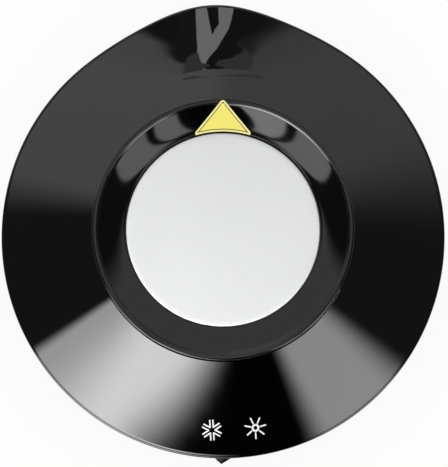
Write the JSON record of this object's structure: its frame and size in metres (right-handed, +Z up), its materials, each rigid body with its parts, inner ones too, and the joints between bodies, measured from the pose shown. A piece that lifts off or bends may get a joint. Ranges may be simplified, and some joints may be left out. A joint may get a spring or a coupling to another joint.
{
  "type": "electric mug warmer",
  "caption": "Round desktop mug warmer and cooler: conical gloss cover, bare aluminium cup plate, rocker switch, hooded rear inlet, finned heat sink and fan.",
  "frame": {"origin": "on the cup plate axis at table level, at the bottom of the feet", "axes": "+Z up along the cup plate axis, +Y towards the rear hood and inlet, -Y towards the rocker"},
  "size_m": [0.15, 0.1534, 0.0445],
  "materials": {
    "gloss_cover": "gloss",
    "housing": "satin",
    "plate": "satin, bead blasted",
    "heat_sink": "satin extrusion",
    "ceramic": "fired, matt",
    "rubber": "matt",
    "silicone": "matt",
    "foam": "matt foam",
    "screw_steel": "zinc plated",
    "bearing": "sintered",
    "winding": "enamelled",
    "magnet": "ferrite",
    "fan_plastic": "satin",
    "switch_plastic": "satin",
    "contact": "plated",
    "board": "solder mask",
    "component": "satin",
    "socket_plastic": "satin",
    "lamp": "clear cap",
    "mark": "white, gloss",
    "label_pale": "film",
    "label_yellow": "film",
    "lead_red": "satin",
    "lead_black": "satin"
  },
  "bodies": {
    "base": {"base_pan": "housing", "board_capacitor": "component", "board_relay": "component", "board_screws": "screw_steel", "cold_block": "heat_sink", "control_board": "board", "cool_led": "lamp", "cool_light_guide": "mark", "cup_plate": "plate", "dish_ring": "gloss_cover", "fan_bearing": "bearing", "fan_frame": "fan_plastic", "fan_leads": "lead_red", "fan_screws": "screw_steel", "fan_stator": "winding", "heat_led": "lamp", "heat_light_guide": "mark", "heat_sink": "heat_sink", "heat_sink_screws": "screw_steel", "housing_screws": "screw_steel", "inlet_nut": "screw_steel", "inlet_pin": "contact", "inlet_socket": "switch_plastic", "label_backing": "label_pale", "label_face": "label_yellow", "lead_sockets": "socket_plastic", "module_foam_ring": "foam", "module_leads": "lead_red", "plate_gasket": "silicone", "rear_panel": "housing", "ring_screws": "screw_steel", "rubber_feet": "rubber", "sensor_leads": "lead_black", "supply_leads": "lead_red", "switch_frame": "switch_plastic", "switch_leads": "lead_black", "switch_terminals": "contact", "temperature_sensor": "screw_steel", "thermal_cutout": "component", "thermoelectric_module": "ceramic", "upper_shell": "gloss_cover"},
    "rocker": {"rocker_cap": "switch_plastic"},
    "fan": {"fan_rotor": "fan_plastic", "fan_magnet": "magnet", "fan_shaft": "screw_steel"}
  },
  "joints": [
    {"name": "rocker_tilt", "type": "hinge", "parent": "base", "child": "rocker", "pos_m": [0, -0.07, 0.0096], "axis": [0, 0, -1], "range_deg": [0, 28]},
    {"name": "fan_spin", "type": "hinge", "parent": "base", "child": "fan", "pos_m": [0, 0, 0.011], "axis": [0, 0, 1], "continuous": true}
  ]
}
